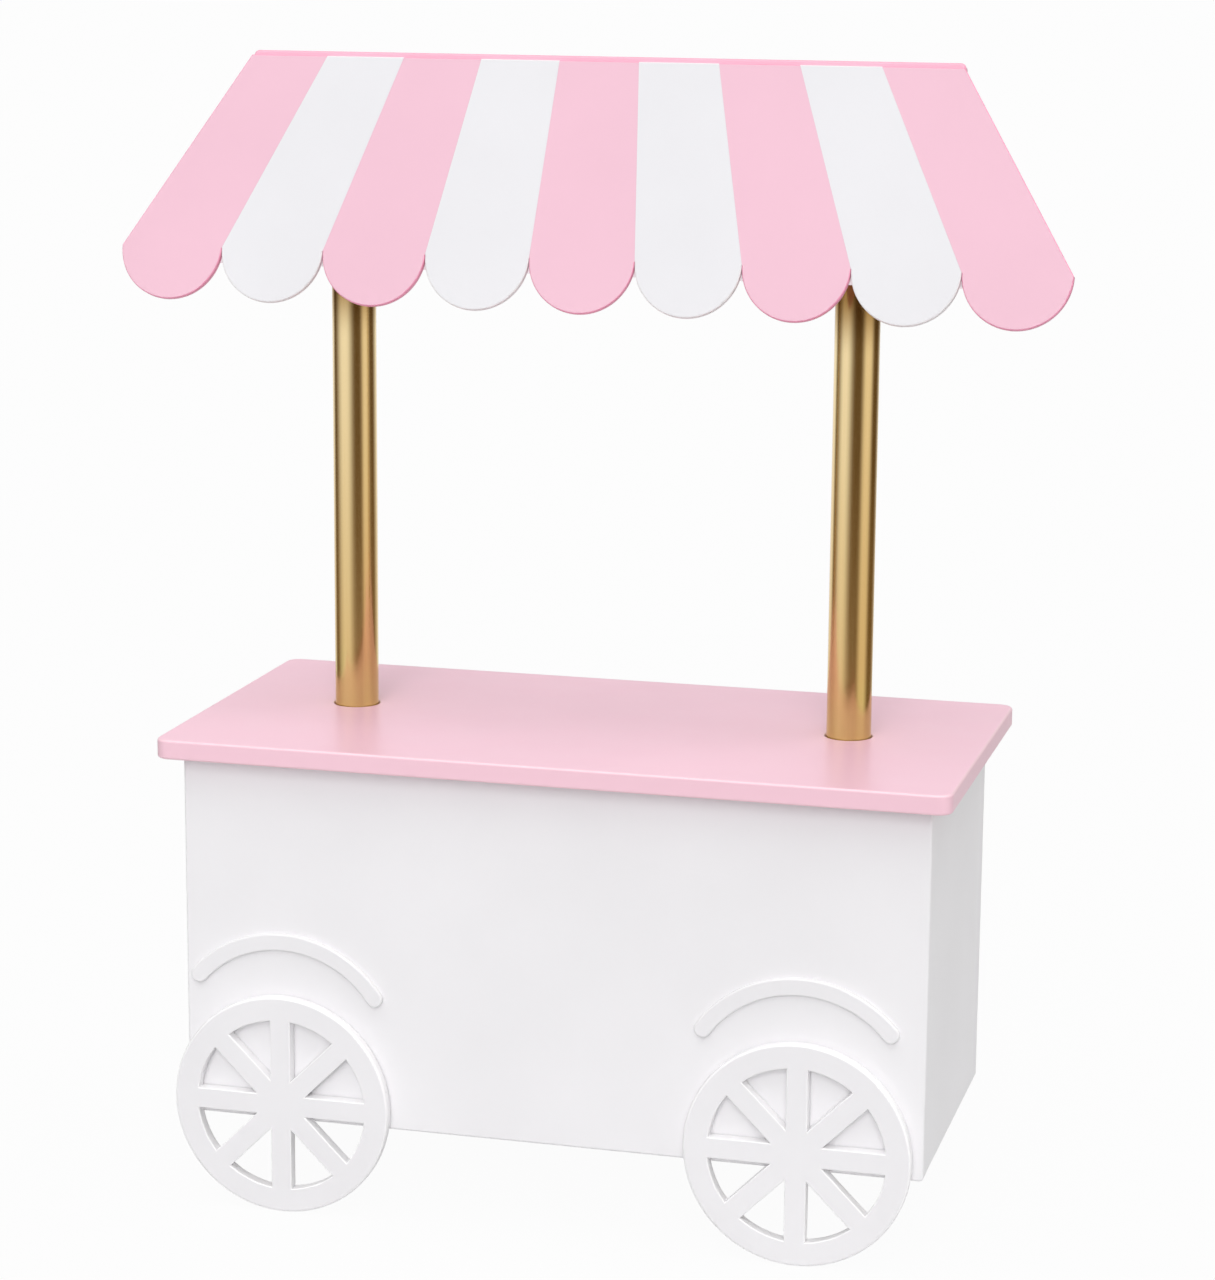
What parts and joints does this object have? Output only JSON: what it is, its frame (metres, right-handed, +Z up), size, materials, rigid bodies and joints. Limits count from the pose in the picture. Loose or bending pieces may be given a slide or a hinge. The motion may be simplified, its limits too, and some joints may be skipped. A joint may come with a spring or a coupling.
{
  "type": "candy cart",
  "caption": "Small candy cart: white board cabinet on spoked disc wheels, pink counter, and a striped scalloped canopy on gold posts that lifts out of the counter.",
  "frame": {"origin": "on the floor, under the middle of the counter", "axes": "+Z up, -Y towards the front panel, +X to the right seen from the front; the cart rolls along X"},
  "size_m": [0.72, 0.3, 0.8672],
  "materials": {
    "white_lacquer": "white satin lacquer on board",
    "pink_lacquer": "pale pink satin lacquer on board",
    "deep_pink_lacquer": "deeper pink satin lacquer",
    "satin_gold": "satin gold, drawn lengthwise",
    "zinc_steel": "zinc plated",
    "nylon": "moulded nylon",
    "beech": "planed beech"
  },
  "bodies": {
    "cart": {"counter_top": "pink_lacquer", "front_panel": "white_lacquer", "left_panel": "white_lacquer", "right_panel": "white_lacquer", "rear_rail_lower": "white_lacquer", "rear_rail_upper": "white_lacquer", "floor_board": "white_lacquer", "counter_cleat_left": "beech", "counter_cleat_right": "beech", "floor_cleat_left": "beech", "floor_cleat_right": "beech", "post_socket_left": "beech", "post_socket_right": "beech", "mudguard_left": "white_lacquer", "mudguard_right": "white_lacquer", "bush_front_left": "nylon", "bush_front_right": "nylon", "bush_rear_left": "nylon", "bush_rear_right": "nylon", "carcass_dowels": "beech", "counter_screws": "zinc_steel", "cleat_screws": "zinc_steel", "floor_screws": "zinc_steel", "socket_screws": "zinc_steel"},
    "wheelset_left": {"axle_left": "zinc_steel", "hub_screws_left": "zinc_steel", "wheel_front_left": "white_lacquer", "hub_plate_front_left": "zinc_steel", "wheel_rear_left": "white_lacquer", "hub_plate_rear_left": "zinc_steel"},
    "wheelset_right": {"axle_right": "zinc_steel", "hub_screws_right": "zinc_steel", "wheel_front_right": "white_lacquer", "hub_plate_front_right": "zinc_steel", "wheel_rear_right": "white_lacquer", "hub_plate_rear_right": "zinc_steel"},
    "canopy": {"post_left": "satin_gold", "post_right": "satin_gold", "post_plug_left": "beech", "post_plug_right": "beech", "post_lock_screws": "zinc_steel", "canopy_base": "white_lacquer", "canopy_gusset_left": "white_lacquer", "canopy_gusset_centre": "white_lacquer", "canopy_gusset_right": "white_lacquer", "ridge_strip": "deep_pink_lacquer", "plug_screws": "zinc_steel", "gusset_screws": "zinc_steel", "ridge_screws": "zinc_steel", "slat_1_pink": "pink_lacquer", "slat_2_white": "white_lacquer", "slat_3_pink": "pink_lacquer", "slat_4_white": "white_lacquer", "slat_5_pink": "pink_lacquer", "slat_6_white": "white_lacquer", "slat_7_pink": "pink_lacquer", "slat_8_white": "white_lacquer", "slat_9_pink": "pink_lacquer"}
  },
  "joints": [
    {"name": "wheelset_left_turn", "type": "hinge", "parent": "cart", "child": "wheelset_left", "pos_m": [-0.2065, 0, 0.085], "axis": [0, 1, 0], "continuous": true},
    {"name": "wheelset_right_turn", "type": "hinge", "parent": "cart", "child": "wheelset_right", "pos_m": [0.1915, 0, 0.085], "axis": [0, 1, 0], "continuous": true},
    {"name": "canopy_lift", "type": "slide", "parent": "cart", "child": "canopy", "axis": [0, 0, 1], "range_m": [0, 0.06]}
  ]
}
